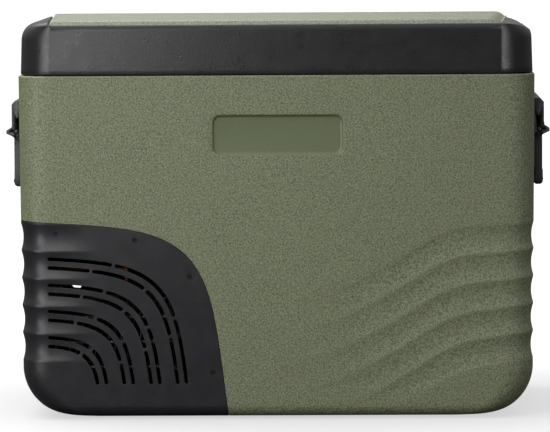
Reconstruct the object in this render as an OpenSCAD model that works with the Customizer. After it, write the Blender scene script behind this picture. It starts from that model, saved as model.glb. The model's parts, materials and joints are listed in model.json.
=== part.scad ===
// Portable compressor cooler: lid on top, compressor bay in the lower left end.
// Millimetres. +X right, +Y to the rear (hinge side), +Z up, origin on the floor
// under the middle of the overall bounding box.

/* [Body] */
// Width of the body across its two ends
body_w = 574; // [566:1:582]
// Depth of the body, front face to rear face
body_d = 340; // [336:1:344]
// Radius of the four upright corners
corner_r = 34; // [30:1:38]
// Radius of the bottom corners seen from the front
base_r = 55; // [50:1:56]
// Radius of the bottom front and rear edges
sill_r = 12; // [8:1:14]
// Wall thickness of the outer shell and of the bay cover
wall = 5; // [5:0.5:5.5]
// Height of the rim of the body above the floor
rim_z = 382; // [382:1:382]
// How much each end leans in from the rim to the base
draft = 2.5; // [0:0.5:3]

/* [End scallops] */
// Height of the lowest ridge
scallop_z = 65; // [63:1:68]
// Distance from ridge to ridge
scallop_pitch = 30.6; // [28:0.1:31]
// Depth of each hollow between ridges
scallop_depth = 2.8; // [1:0.1:3]
// Number of hollows on each end
scallop_count = 5; // [3:1:5]

/* [Badge recess] */
// Width of the shallow front recess
badge_w = 143; // [100:1:160]
// Height of the shallow front recess
badge_h = 42.5; // [30:0.5:48]
// Depth of the recess
badge_depth = 3; // [1:0.5:3.5]

/* [Bay cover] */
// Half width of the cover outline
cover_half_w = 230.6; // [228:0.1:234]
// Half height of the cover outline
cover_half_h = 215; // [212:0.5:216]
// Squareness of the outline, 2 is an ellipse
cover_squareness = 5.5; // [4.5:0.1:6]
// Sideways lean of the outline
lean_x = 0.1257; // [0.1:0.005:0.14]
// Downward lean of the outline
lean_z = 0.0519; // [0.04:0.005:0.06]
// Gap between cover and shell
cover_gap = 0.5; // [0.3:0.1:0.8]

/* [Air louvres] */
// Half width of the outermost louvre
louvre_half_w = 188.5; // [186:0.5:190]
// Half height of the outermost louvre
louvre_half_h = 174.6; // [172:0.1:176]
// Distance from one pair of louvres to the next
pair_pitch = 29.8; // [28:0.1:30.2]
// Distance between the two louvres of a pair
louvre_pitch = 9.9; // [8:0.1:10.5]
// Width of a louvre slot
louvre_w = 4.0; // [2:0.1:4]
// Length of the bridge left in a louvre
bridge_w = 7; // [5:0.5:9]

/* [Lid] */
// Width of the lid frame
lid_w = 571; // [569:1:571]
// Depth of the lid frame
lid_d = 337; // [335:1:337]
// Half width of the top panel at the front edge
panel_x = 249.4; // [248:0.1:250]
// Half width of the top panel at the rear edge
panel_rear_x = 267; // [255:0.5:268]
// Height of the top of the raised panel above the floor
top_z = 443.4; // [443:0.1:444]

/* [Storage tub] */
// Inside length of the tub
tub_w = 486; // [470:1:486]
// Inside depth of the tub
tub_d = 252; // [248:1:252]
// Height of the tub floor above the floor
tub_z = 47; // [46:1:50]

/* [Hidden] */
$fn = 64;

// colours used by more than one piece
green = "#6f765e";
green_top = "#8b907c";
black = "#2d2d30";
metal = "#9a9c9e";
copper = "#b0703c";
liner_grey = "#c9ccce";
foam_cream = "#e8dfb8";
can_black = "#1d1e20";
socket_black = "#202124";
handle_black = "#1b1a1a";
grip_black = "#242323";
leaf_black = "#26262a";
button_grey = "#55585c";

// body
half_w = body_w / 2;
half_d = body_d / 2;
foot_h = 3;
shell_z = foot_h;
far = 400; // past the rim and the ends of the body, for open tops and cuts
badge_at = [2, 316.3]; // x, z

// tub
liner_t = 2;
tub_r = 20;
tub_step_z = 236; // the tub is narrower below this, to clear the bay
tub_step_x = -58;
flange_z = 375;
coil_z = 262; // lowest turn of the evaporator
coil_pitch = 24;
coil_gap = 6; // tub inside to coil centreline

// cover and louvres: centre and shape of the family of leaning curves
cover_cx = -half_w + 3.2;
cover_cz = shell_z + 4.8;
cover_screws = [[-245.8, 208.2], [-157.6, 200.1], [-96.6, 159.1], [-71.8, 52.5]]; // x, z
louvre_squareness = 5.3;
louvre_end_x = 31.6; // upper ends of the louvres, right of the centre
louvre_end_z = 34.3; // lower ends of the louvres, above the centre
// angle of each bridge across each louvre, from the outside in
bridges = [[54, 32], [59, 43, 28], [52, 34], [58, 43, 28], [49, 35], [55, 28], [41], [43]];

// bay
bay_right = -98;
bay_top = 199;
comp_x = -172;
comp_y = 35;
comp_w = 116;
comp_d = 180;
comp_bottom = 25;
comp_h = 126;
comp_seam_z = 92;
bolt_x = 52; // grommets and bolts, from the compressor axis
bolt_y = 60;
riser_y = 140; // upright pipes that pass up through the foam
riser_end_y = 135.8;
capillary_x = -200;
fan_centre = [-178, -100, 75];
cond_ys = [-142, -126];
cond_zs = [28, 56, 84, 112];
cond_left = -236;
cond_right = -122;
cond_tube_r = 4;
drier_x = -252;
drier_y = 110;

// sockets and their flap, in the rear of the cover
sock_x = -200;
sock_z = 151;
dc_x = sock_x + 18;
ac_x = sock_x - 19;
flap_axis = [sock_x, half_d - 2.1, sock_z + 19];

// handles
handle_x = half_w + 7.6;
handle_z = 316;
bar_z = 261;
// bracket seen along Y; columns: distance out from the body end, z
bracket_ear = [[0.2, 307], [8, 307], [12.5, 311], [19.2, 314], [19.2, 317.5], [13, 321.5],
               [13, 347], [9, 351.5], [0.2, 351.5]];
bracket_bar = [[0.2, 327.5], [13, 327.5], [13, 347], [9, 351.5], [0.2, 351.5]];

// hinges
knuckle_r = 4.8;
hinge_offset = 5.2; // pin axis behind the body
hinge_y = half_d + hinge_offset;
hinge_z = rim_z + 0.5;
hinge_xs = [-170, 170];
body_leaf_screw_zs = [350, 366];
lid_leaf_screw_zs = [399, 414];
// the knuckles stand out at the rear, so everything moves forward by half of that
y_shift = -(hinge_offset + knuckle_r) / 2;

// lid
lid_bottom = rim_z + 1;
skirt_top = 415; // top of the wide cavity in the frame
crown_top = 435; // top of the narrower cavity above it
crown_w = 496;
plug_w = 474; // part of the liner that drops into the tub
plug_d = 240;
panel_z = 438;
shoulder_z = 441.5;
shoulder_r = 20;
shoulder_x = lid_w / 2 - 1.2;
shoulder_angle = 45;
strip_w = 20; // control strip on the left shoulder
strip_l = 120;
display_y = -35;
first_button_y = -2;
button_pitch = 16;

// basket
basket_x = 93;
basket_w = 282;
basket_d = 234;
basket_bottom = 52;
basket_top = 334;
basket_grip_z = 360;

// ---- helpers ----
module place() { translate([0, y_shift, 0]) children(); }
module along_x(length) {
  rotate([90, 0, 90]) linear_extrude(height = length, center = true) children();
}
module along_y(length) {
  rotate([90, 0, 0]) linear_extrude(height = length, center = true) children();
}
module upright(bottom, top) {
  translate([0, 0, bottom]) linear_extrude(height = top - bottom) children();
}
module up(z) { translate([0, 0, z]) children(); }
module corners(x, y) {
  for (sx = [-1, 1], sy = [-1, 1]) translate([sx * x, sy * y]) children();
}
// rounded rectangle with true arcs
module rounded(width, depth, radius) {
  union() {
    square([width - 2 * radius, depth], center = true);
    square([width, depth - 2 * radius], center = true);
    corners(width / 2 - radius, depth / 2 - radius) circle(r = radius);
  }
}
module box(x0, x1, y0, y1, z0, z1) {
  translate([x0, y0, z0]) cube([x1 - x0, y1 - y0, z1 - z0]);
}
module rod_x(length, radius) {
  rotate([0, 90, 0]) cylinder(h = length, r = radius, center = true);
}
module rod_y(length, radius) {
  rotate([90, 0, 0]) cylinder(h = length, r = radius, center = true);
}
module rod(from, to, radius) {
  run = to - from;
  length = norm(run);
  translate(from) rotate([0, acos(run[2] / length), atan2(run[1], run[0])])
    cylinder(h = length, r = radius);
}
// bent tube: straight runs joined by ball elbows
module pipe(points, radius) {
  union() {
    for (i = [0 : len(points) - 2]) rod(points[i], points[i + 1], radius);
    if (len(points) > 2)
      for (i = [1 : len(points) - 2]) translate(points[i]) sphere(r = radius);
  }
}
// level wire loop with rounded corners
module ring_wire(width, depth, bend_r, wire_r, z) {
  up(z) union() {
    for (s = [-1, 1]) {
      translate([0, s * depth / 2, 0]) rod_x(width - 2 * bend_r, wire_r);
      translate([s * width / 2, 0, 0]) rod_y(depth - 2 * bend_r, wire_r);
    }
    for (k = [0 : 3]) let (sx = [1, -1, -1, 1][k], sy = [1, 1, -1, -1][k])
      translate([sx * (width / 2 - bend_r), sy * (depth / 2 - bend_r), 0]) rotate([0, 0, 90 * k])
        rotate_extrude(angle = 90) translate([bend_r, 0]) circle(r = wire_r);
  }
}

// ---- body outline ----
// front view
module end_profile(inset) {
  low_x = half_w - draft;
  flat_x = low_x - base_r;
  knee_z = shell_z + base_r;
  union() {
    polygon([[-(half_w - inset), far], [half_w - inset, far], [half_w - inset, rim_z],
             [low_x - inset, knee_z], [-(low_x - inset), knee_z], [-(half_w - inset), rim_z]]);
    translate([-flat_x, shell_z + inset]) square([2 * flat_x, base_r]);
    for (s = [-1, 1]) translate([s * flat_x, knee_z]) circle(r = base_r - inset);
  }
}
// end view
module side_profile(inset) {
  flat_y = half_d - sill_r;
  sill_z = shell_z + sill_r;
  union() {
    translate([-half_d + inset, sill_z]) square([2 * (half_d - inset), far - sill_z]);
    translate([-flat_y, shell_z + inset]) square([2 * flat_y, sill_r]);
    for (s = [-1, 1]) translate([s * flat_y, sill_z]) circle(r = sill_r - inset);
  }
}
module scallops() {
  radius = (pow(scallop_pitch / 2, 2) + pow(scallop_depth, 2)) / (2 * scallop_depth);
  for (k = [0 : scallop_count - 1], s = [-1, 1])
    let (z = scallop_z + (k + 0.5) * scallop_pitch,
         x = half_w - draft * (rim_z - z) / (rim_z - shell_z - base_r))
      translate([s * (x - scallop_depth + radius), z]) circle(r = radius);
}
module body_solid(inset, top, scalloped = false) {
  intersection() {
    upright(shell_z + inset, top)
      rounded(body_w - 2 * inset, body_d - 2 * inset, corner_r - inset);
    along_y(body_d + 20) difference() {
      end_profile(inset);
      if (scalloped) scallops();
    }
    // a deep inset leaves too little of the sill radius
    if (inset < sill_r - 2) along_x(body_w + 20) side_profile(inset);
  }
}

// ---- family of leaning superellipses, in X and Z ----
// point seen at a given angle from the family centre
function curve_pt(half_width, half_height, squareness, seen) =
  let (angle = atan(pow(half_width / half_height * tan(seen), squareness / 2)),
       x = half_width * pow(cos(angle), 2 / squareness),
       z = half_height * pow(sin(angle), 2 / squareness))
  [cover_cx + x - lean_x * z, cover_cz + z - lean_z * x];
module cover_region(grow) {
  half_width = cover_half_w + grow;
  half_height = cover_half_h + grow;
  polygon(concat(
    [for (k = [0 : 40])
      curve_pt(half_width, half_height, cover_squareness, 89.9 * k / 40 + 0.05)],
    [[-half_w - 40, cover_cz + half_height], [-half_w - 40, -30],
     [cover_cx + half_width, -30]]));
}
// one slot between two bridges or ends
module louvre_run(half_width, half_height, from, to) {
  steps = 9;
  function edge(k, grow) = curve_pt(half_width + grow, half_height + grow, louvre_squareness,
                                    from + (to - from) * k / steps);
  polygon(concat([for (k = [0 : steps]) edge(k, louvre_w / 2)],
                 [for (k = [steps : -1 : 0]) edge(k, -louvre_w / 2)]));
}
// louvres from number first, counted from the outside, to the innermost
module louvres(first) {
  deg_per_rad = 57.3;
  for (k = [first : len(bridges) - 1]) {
    pair = floor(k / 2);
    half_width = louvre_half_w - pair_pitch * pair - louvre_pitch * (k % 2);
    half_height = louvre_half_h - (pair_pitch - 0.5) * pair - louvre_pitch * (k % 2);
    top_angle = atan2(half_height, louvre_end_x + lean_x * half_height);
    low_angle = atan2(louvre_end_z + lean_z * half_width, half_width);
    // half the angle of a bridge; 1.25 times the mean size stands for the distance out
    half_gap = bridge_w / 2 / (1.25 * (half_width + half_height) / 2) * deg_per_rad;
    stops = concat([top_angle], [for (c = bridges[k], s = [1, -1]) c + s * half_gap],
                   [low_angle]);
    for (j = [0 : 2 : len(stops) - 1])
      louvre_run(half_width, half_height, stops[j + 1], stops[j]);
  }
}

// ---- places of screws and feet, +Z pointing outward ----
module at_cover_screws() {
  for (p = cover_screws, s = [-1, 1])
    translate([p[0], s * half_d, p[1]]) rotate([s * -90, 0, 0]) children();
}
module at_bracket_screws() {
  for (s = [-1, 1], y = [-58, 0, 58])
    translate([s * (half_w + 0.1), y, 340]) rotate([0, s * 90, 0]) children();
}
module at_hinge_screws(zs, y) {
  for (x = hinge_xs, dx = [-13, 13], z = zs) translate([x + dx, y, z]) rotate([-90, 0, 0]) children();
}
module at_feet() { corners(205, 112) children(); }
module foot_holes(height, radius = 2.3) { at_feet() cylinder(h = height, r = radius); }

// ---- body shell and tub ----
// sunken ledge that the cover screws to
module cover_landing() difference() {
  intersection() {
    body_solid(wall - 0.2, 300);
    along_y(body_d + 20) difference() {
      cover_region(8);
      cover_region(-24);
    }
  }
  body_solid(wall + 3.8, far);
  difference() {
    along_y(body_d + 30) cover_region(1);
    body_solid(wall + 1.3, far);
  }
}
module outer_shell() color(green) difference() {
  union() {
    difference() {
      body_solid(0, rim_z, true);
      body_solid(wall, rim_z + 10);
      along_y(body_d + 20) cover_region(0);
    }
    cover_landing();
  }
  translate([badge_at[0], -half_d, badge_at[1]])
    along_y(2 * badge_depth) rounded(badge_w, badge_h, 8);
  at_cover_screws() up(-12) cylinder(h = 12, r = 1.45);
  at_bracket_screws() up(-9) cylinder(h = 12, r = 2.05);
  at_hinge_screws(body_leaf_screw_zs, half_d) up(-8) cylinder(h = 12, r = 2.05);
  foot_holes(12);
}
// tub volume, grown from its inside surface
module tub_shape(grow, top, radius) {
  right = tub_w / 2 + grow;
  step_x = tub_step_x - grow;
  depth = tub_d + 2 * grow;
  upright(tub_step_z - grow, top) rounded(2 * right, depth, radius);
  upright(tub_z - grow, top)
    translate([(right + step_x) / 2, 0]) rounded(right - step_x, depth, radius);
}
module foam_core() color(foam_cream) difference() {
  body_solid(wall + 0.2, flange_z - 0.1);
  tub_shape(liner_t + 0.1, far, tub_r + 2);
  box(-far, bay_right + 0.1, -300, 300, 0, bay_top + 0.1);
  // room for the cover landing
  difference() {
    box(-far, -40, -300, 300, 0, 234);
    body_solid(wall + 4, 420);
  }
  // room for the evaporator
  upright(254, 342) rounded(tub_w + 22, tub_d + 22, 30);
  foot_holes(16, 2.6);
  for (x = [comp_x, capillary_x]) {
    translate([x, riser_y, 190]) cylinder(h = 80, r = 4);
    translate([x, riser_y, coil_z]) rotate([90, 0, 0]) cylinder(h = 10, r = 4);
    translate([x, riser_y, coil_z]) sphere(r = 4);
  }
}
module rim_plan() {
  inset = wall + 0.5;
  rounded(body_w - 2 * inset, body_d - 2 * inset, corner_r - inset);
}
module inner_liner() color(liner_grey) difference() {
  union() {
    tub_shape(liner_t, flange_z + liner_t, tub_r + liner_t);
    upright(flange_z, flange_z + liner_t) rim_plan();
  }
  tub_shape(0, far, tub_r);
}
module rim_trim() color(black) difference() {
  upright(flange_z + liner_t + 0.05, 380) rim_plan();
  upright(370, 390) rounded(tub_w, tub_d, tub_r);
}
module evaporator_coil() color(copper) union() {
  turns = 4;
  link_y = tub_d / 2 + coil_gap;
  for (k = [0 : turns - 1])
    ring_wire(tub_w + 2 * coil_gap, tub_d + 2 * coil_gap, 26, 3, coil_z + coil_pitch * k);
  rod([-186, link_y, coil_z], [-186, link_y, coil_z + coil_pitch * (turns - 1)], 2.6);
}
module interior_light() color("#f2f4f5") union() {
  lamp_x = -tub_w / 2 + 2.2;
  box(-tub_w / 2 + 0.1, lamp_x, -34, 34, 322, 344);
  translate([lamp_x, 0, 333]) rotate([90, 0, 90]) linear_extrude(height = 1.6) rounded(58, 14, 5);
}

// ---- compressor bay ----
module bay_wall() color("#8d9296") difference() {
  intersection() {
    body_solid(wall + 4.2, far);
    union() {
      box(bay_right - 2, bay_right, -300, 300, 8, bay_top);
      box(-far, bay_right, -300, 300, bay_top - 2, bay_top);
    }
  }
  for (x = [comp_x, capillary_x]) translate([x, riser_y, 190]) cylinder(h = 20, r = 4);
}
module base_plate() color(metal) difference() {
  union() {
    right = bay_right - 2.2;
    box(-234, right, -150, 150, 8.4, 10.3);
    for (s = [-1, 1]) translate([0, s * 145, 0]) box(right - 2, right, -8, 8, 10.3, 34);
  }
  at_grommets() cylinder(h = 40, r = 2.6, center = true);
  foot_holes(20);
}

// ---- compressor ----
module at_compressor() { translate([comp_x, comp_y, 0]) children(); }
module at_grommets() { at_compressor() corners(bolt_x, bolt_y) children(); }
// slice of the sealed can, rounded in plan and at its top and bottom
module can(bottom, top, inset) {
  plan_r = 50;
  edge_r = 28;
  width = comp_w - 2 * inset;
  depth = comp_d - 2 * inset;
  height = comp_h - 2 * inset;
  mid_z = comp_bottom + comp_h / 2;
  intersection() {
    upright(bottom, top) rounded(width, depth, plan_r - inset);
    along_y(comp_d) translate([0, mid_z]) rounded(width, height, edge_r - inset);
    along_x(comp_w) translate([0, mid_z]) rounded(depth, height, edge_r - inset);
  }
}
module can_flange(bottom) {
  upright(bottom, bottom + 4 - (bottom - comp_seam_z > 0 ? 0.05 : 0))
    rounded(comp_w + 8, comp_d + 8, 54);
}
module compressor_lower_shell() color(can_black) at_compressor() difference() {
  union() {
    can(comp_bottom, comp_seam_z, 0);
    can_flange(comp_seam_z - 4);
  }
  can(20, 140, 3);
}
module compressor_upper_shell() color(can_black) at_compressor() difference() {
  union() {
    can(comp_seam_z + 0.05, 152, 0);
    can_flange(comp_seam_z + 0.05);
  }
  can(40, 160, 3);
}
// four small posts on the diagonals
module diagonal_posts(radius, z, height) {
  for (k = [0 : 3])
    rotate([0, 0, 45 + 90 * k]) translate([radius, 0, z]) cylinder(h = height, r = 3.5);
}
module compressor_stator() color("#7c4a2a") at_compressor() difference() {
  union() {
    up(42) cylinder(h = 38, r = 46);
    diagonal_posts(40, 30, 12);
  }
  up(41) cylinder(h = 40, r = 27);
}
module compressor_block() color(metal) at_compressor() difference() {
  union() {
    up(84) cylinder(h = 8, r = 42);
    up(92) cylinder(h = 16, r = 13);
    translate([0, 20, 104]) rotate([-90, 0, 0]) cylinder(h = 34, r = 14);
    diagonal_posts(38, 80.1, 4);
  }
  up(80) cylinder(h = 40, r = 7.05);
  translate([0, 26, 104]) rotate([-90, 0, 0]) cylinder(h = 40, r = 9);
}
module compressor_rotor() color("#b9bcbf") at_compressor() union() {
  up(43) cylinder(h = 36, r = 26);
  up(36) cylinder(h = 76, r = 7);
  up(112) cylinder(h = 4, r = 12);
  translate([5, 0, 116]) cylinder(h = 12, r = 5); // off-centre crank
}
module compressor_feet() color(can_black) at_compressor() difference() {
  for (s = [-1, 1]) translate([0, s * bolt_y, 0]) upright(21.9, 24.9) rounded(122, 24, 8);
  corners(bolt_x, bolt_y) cylinder(h = 40, r = 5.05);
}
module compressor_grommets() color("#161617") at_grommets() difference() {
  union() {
    up(10.35) cylinder(h = 11.5, r = 7.4);
    up(21.8) cylinder(h = 3.3, r = 5);
    up(25) cylinder(h = 2.6, r = 7.4);
  }
  cylinder(h = 40, r = 2.7);
}
module compressor_bolts() color(metal) at_grommets() union() {
  up(8.4) cylinder(h = 19.3, r = 2.5);
  up(27.65) cylinder(h = 3, r = 4, $fn = 6);
}
module terminal_cover() color("#1f2022") difference() {
  box(-245, -230.2, 15, 55, 56, 84);
  box(-243, -229, 17, 53, 58, 82);
}

// ---- refrigerant circuit and fan ----
module suction_pipe() color(copper)
  pipe([[comp_x, 125.1, 115], [comp_x, riser_y, 115], [comp_x, riser_y, coil_z],
        [comp_x, riser_end_y, coil_z]], 3.2);
module discharge_pipe() color(copper)
  pipe([[comp_x, -55.1, 112], [comp_x, -70, 112], [comp_x, -70, 160], [-262, -70, 160],
        [-262, cond_ys[0], 160], [-262, cond_ys[0], cond_zs[0]],
        [-241.1, cond_ys[0], cond_zs[0]]], 3);
// half turn between the ends of two parallel runs along X, bulging right or left
module u_bend(from, to, side) {
  span = to - from;
  translate((from + to) / 2) rotate([atan2(span[2], span[1]), 0, 0])
    rotate([0, 0, side > 0 ? -90 : 90])
      rotate_extrude(angle = 180) translate([norm(span) / 2, 0]) circle(r = cond_tube_r);
}
module condenser_coil() color(copper) union() {
  for (y = cond_ys, k = [0 : 3])
    rod([k == 0 ? -241 : cond_left, y, cond_zs[k]], [cond_right, y, cond_zs[k]], cond_tube_r);
  for (y = cond_ys, k = [0 : 2]) {
    side = k == 1 ? -1 : 1;
    x = side > 0 ? cond_right : cond_left;
    u_bend([x, y, cond_zs[k]], [x, y, cond_zs[k + 1]], side);
  }
  u_bend([cond_left, cond_ys[0], cond_zs[3]], [cond_left, cond_ys[1], cond_zs[3]], -1);
  // outlet to the filter drier
  pipe([[-240, cond_ys[1], cond_zs[0]], [drier_x, cond_ys[1], cond_zs[0]],
        [drier_x, drier_y, cond_zs[0]], [drier_x, drier_y, 54.9]], 3);
}
module condenser_fins() color("#c4c8cb") for (k = [0 : 14])
  translate([-232 + 7.2 * k, 0, 0]) rotate([90, 0, 90]) linear_extrude(height = 1) difference() {
    translate([-150, 10.4]) square([32, 120]);
    for (y = cond_ys, z = cond_zs) translate([y, z]) circle(r = cond_tube_r + 0.05);
  }
// fan axis as +Z, pointing to the front
module at_fan() { translate(fan_centre) rotate([90, 0, 0]) children(); }
module fan_frame() color(black) at_fan() difference() {
  union() {
    difference() {
      upright(-12.5, 12.5) rounded(120, 120, 6);
      cylinder(h = 40, r = 57, center = true);
    }
    up(-12.5) cylinder(h = 2.5, r = 20);
    up(-12.5) cylinder(h = 12, r = 6);
    for (k = [0 : 3]) rotate([0, 0, 20 + 90 * k]) translate([16, -2.5, -12.5]) cube([43, 5, 2.5]);
  }
  cylinder(h = 60, r = 2.05, center = true);
  corners(52.5, 52.5) cylinder(h = 40, r = 2.2, center = true);
}
module fan_impeller() color("#3a3b3e") at_fan() difference() {
  union() {
    blades = 7;
    up(-7.5) cylinder(h = 18, r = 19);
    intersection() {
      difference() {
        cylinder(h = 24, r = 55, center = true);
        cylinder(h = 30, r = 18, center = true);
      }
      for (k = [0 : blades - 1]) rotate([0, 0, k * 360 / blades])
        translate([37, 0, 1.5]) rotate([38, 0, 0]) cube([42, 24, 1.8], center = true);
    }
  }
  up(-8) cylinder(h = 15, r = 16);
  cylinder(h = 60, r = 2.02, center = true);
}
module fan_shaft() color(metal) at_fan() up(-12.3) cylinder(h = 22.5, r = 2);
module filter_drier() color(copper) translate([drier_x, drier_y, 0]) union() {
  up(55) cylinder(h = 8, r1 = 3.4, r2 = 9);
  up(63) cylinder(h = 60, r = 9);
  up(123) cylinder(h = 8, r1 = 9, r2 = 2.4);
}
module capillary_tube() color(copper)
  pipe([[drier_x, drier_y, 131.1], [drier_x, drier_y, 180], [drier_x, riser_y, 180],
        [capillary_x, riser_y, 180], [capillary_x, riser_y, coil_z],
        [capillary_x, riser_end_y, coil_z]], 1.2);

// ---- electrics ----
module control_module() color("#3c4147") difference() {
  union() {
    box(-277, -249, -40, 78, 72, 150);
    // ribs on the right face
    for (k = [0 : 8]) translate([0, 13 * k, 0]) box(-249, -246.6, -36, -33.6, 88, 146);
  }
  box(-275, -251, -38, 76, 74, 148);
}
module dc_socket() color(socket_black) translate([dc_x, 0, sock_z]) rotate([-90, 0, 0]) difference() {
  union() {
    up(146) cylinder(h = 20.2, r = 10);
    up(162) cylinder(h = 2.9, r = 13.5);
  }
  for (s = [-1, 1]) translate([s * 4, 0, 150]) cylinder(h = 20, r = 1.7);
}
module ac_socket() color(socket_black) translate([ac_x, 0, sock_z]) difference() {
  union() {
    box(-12, 12, 146, 166.2, -9, 9);
    box(-16, 16, 162, 164.9, -12, 12);
  }
  box(-10, 10, 152, 170, -7, 7);
}

// ---- vent cover ----
module bay_cover() color(black) difference() {
  intersection() {
    body_solid(0, rim_z, true);
    along_y(body_d + 20) cover_region(-cover_gap);
  }
  body_solid(wall, far);
  translate([0, -half_d, 0]) along_y(60) louvres(0);
  translate([0, half_d, 0]) along_y(60) louvres(4);
  at_cover_screws() up(-20) cylinder(h = 24, r = 1.7);
  at_cover_screws() up(-1.6) cylinder(h = 4, r = 2.8);
  foot_holes(20);
  // socket pocket in the rear face
  translate([sock_x, half_d, sock_z]) box(-40, 40, -3.6, 5, -21, 21);
  translate([dc_x, half_d, sock_z]) rotate([90, 0, 0]) cylinder(h = 20, r = 10.1);
  translate([ac_x, half_d, sock_z]) box(-12.2, 12.2, -20, 0, -9.2, 9.2);
  translate(flap_axis) rod_x(86, 1.25);
}
module bay_cover_screws() color(metal) at_cover_screws() difference() {
  union() {
    up(-9) cylinder(h = 7.6, r = 1.4);
    up(-1.55) cylinder(h = 1.3, r = 2.5);
  }
  up(-0.9) cylinder(h = 2, r = 1.1, $fn = 6);
}
module socket_flap() color("#232427") union() {
  translate([sock_x, half_d, sock_z]) {
    box(-39.7, 39.7, -3.35, -0.85, -20.6, 19);
    box(-12, 12, -0.9, -0.1, -19, -16);
  }
  translate(flap_axis) {
    rod_x(79.4, 1.25);
    rod_x(84, 1.2);
  }
}

// ---- feet ----
module feet() color("#19191a") at_feet() difference() {
  cylinder(h = foot_h - 0.05, r = 15);
  up(-1) cylinder(h = 3.2, r = 4.6);
  cylinder(h = 10, r = 2.4);
}
module foot_screws() color(metal) at_feet() union() {
  up(0.7) cylinder(h = 1.45, r = 4.2);
  up(2.1) cylinder(h = 11, r = 2.2);
}

// ---- end handles, drawn at the right end ----
module mirror_end(s) { if (s < 0) mirror([1, 0, 0]) children(); else children(); }
module at_handle(s) { mirror_end(s) translate([handle_x, 0, 0]) children(); }
module handle_brackets() color(handle_black) difference() {
  for (s = [-1, 1]) mirror_end(s) difference() {
    translate([half_w, 0, 0]) union() {
      for (t = [-1, 1]) translate([0, t * 68, 0]) along_y(16) polygon(bracket_ear);
      along_y(140) polygon(bracket_bar);
      box(0.2, 2, -70, 70, 307, 328);
    }
    translate([handle_x, 0, handle_z]) rod_y(200, 3.03);
  }
  at_bracket_screws() cylinder(h = 20, r = 2.1);
  at_bracket_screws() up(8.4) cylinder(h = 10, r = 4.2);
}
module handle_pins() color(metal) up(handle_z) corners(handle_x, 61) rod_y(29, 3);
module bracket_screws() color(metal) at_bracket_screws() union() {
  up(-4.7) cylinder(h = 13.2, r = 2);
  up(8.45) cylinder(h = 2.8, r = 3.9);
}
module bail(s) at_handle(s) union() {
  arm_z = 260;
  difference() {
    for (t = [-1, 1]) translate([0, t * 53.5, 0]) along_y(12) union() {
      translate([0, handle_z]) circle(r = 4.4);
      translate([-4, arm_z]) square([8, handle_z - arm_z]);
      translate([0, arm_z]) circle(r = 5);
    }
    up(handle_z) rod_y(200, 3.06);
  }
  up(bar_z) rod_y(98, 3.2);
}
module grip(s) at_handle(s) difference() {
  translate([-0.3, 0, bar_z + 1.3]) along_y(94.6) rounded(11, 19.6, 4.2);
  up(bar_z) rod_y(120, 3.25);
}
module handle_bail_left() color(handle_black) bail(-1);
module handle_bail_right() color(handle_black) bail(1);
module handle_grip_left() color(grip_black) grip(-1);
module handle_grip_right() color(grip_black) grip(1);

// ---- lid hinges ----
module knuckle(x, length, bore_r) {
  translate([x, hinge_y, hinge_z]) difference() {
    rod_x(length, knuckle_r);
    rod_x(length + 2, bore_r);
  }
}
// takes the knuckle's room out of the web that carries it
module clear_knuckle(x) difference() {
  children();
  translate([x, hinge_y, hinge_z]) rod_x(60, knuckle_r - 0.1);
}
module hinge_body_leaves() color(leaf_black) difference() {
  for (x = hinge_xs) union() {
    box(x - 22, x + 22, half_d + 0.1, half_d + 2.6, 341, 375);
    for (s = [-1, 1]) let (mid = x + s * 14.5) {
      knuckle(mid, 14, 2.02);
      clear_knuckle(x) box(mid - 7, mid + 7, half_d + 0.1, half_d + 2.6, 369, 382);
    }
  }
  at_hinge_screws(body_leaf_screw_zs, half_d) cylinder(h = 10, r = 2.1);
}
module hinge_lid_leaves() color(leaf_black) difference() {
  rear = lid_d / 2;
  for (x = hinge_xs) union() {
    box(x - 22, x + 22, rear + 0.1, rear + 2.8, 388.5, 421);
    knuckle(x, 14.4, 2.06);
    clear_knuckle(x) box(x - 7.2, x + 7.2, rear + 1.7, rear + 4.4, 383.5, 391);
  }
  at_hinge_screws(lid_leaf_screw_zs, rear - 2) cylinder(h = 10, r = 2.1);
}
module hinge_pins() color(metal) for (x = hinge_xs) translate([x, hinge_y, hinge_z]) rod_x(46, 2);
module hinge_body_screws() color(metal) at_hinge_screws(body_leaf_screw_zs, half_d) union() {
  up(-4.7) cylinder(h = 7.5, r = 2);
  up(2.65) cylinder(h = 2, r = 3.8);
}
module hinge_lid_screws() color(metal) at_hinge_screws(lid_leaf_screw_zs, lid_d / 2) union() {
  up(-3.2) cylinder(h = 6.2, r = 2);
  up(2.85) cylinder(h = 2, r = 3.8);
}

// ---- lid ----
// middle of the flat facet let into the rounded left shoulder, +Z outward
module at_shoulder() {
  reach = sqrt(pow(shoulder_r, 2) - pow(strip_w / 2, 2));
  translate([-(shoulder_x - shoulder_r) - reach * sin(shoulder_angle), 0,
             shoulder_z - shoulder_r + reach * cos(shoulder_angle)])
    rotate([0, -shoulder_angle, 0]) children();
}
// front view
module lid_profile() {
  arc_x = shoulder_x - shoulder_r;
  arc_z = shoulder_z - shoulder_r;
  union() {
    polygon([[-lid_w / 2, lid_bottom], [-shoulder_x, arc_z], [shoulder_x, arc_z],
             [lid_w / 2, lid_bottom]]);
    translate([-arc_x, arc_z - 1]) square([2 * arc_x, shoulder_r + 1]);
    for (s = [-1, 1]) translate([s * arc_x, arc_z]) circle(r = shoulder_r);
  }
}
// flat front and rear between two creases, then a quick bend to each end
module lid_plan(inset) {
  bend_r = 49.5;
  bend_x = lid_w / 2 - bend_r;
  bend_y = lid_d / 2 - bend_r * cos(15);
  width = lid_w - 2 * inset;
  depth = lid_d - 2 * inset;
  intersection() {
    union() {
      square([2 * bend_x, depth], center = true);
      square([width, 2 * bend_y], center = true);
      corners(bend_x, bend_y) circle(r = bend_r - inset);
    }
    square([width, depth], center = true);
  }
}
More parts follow.
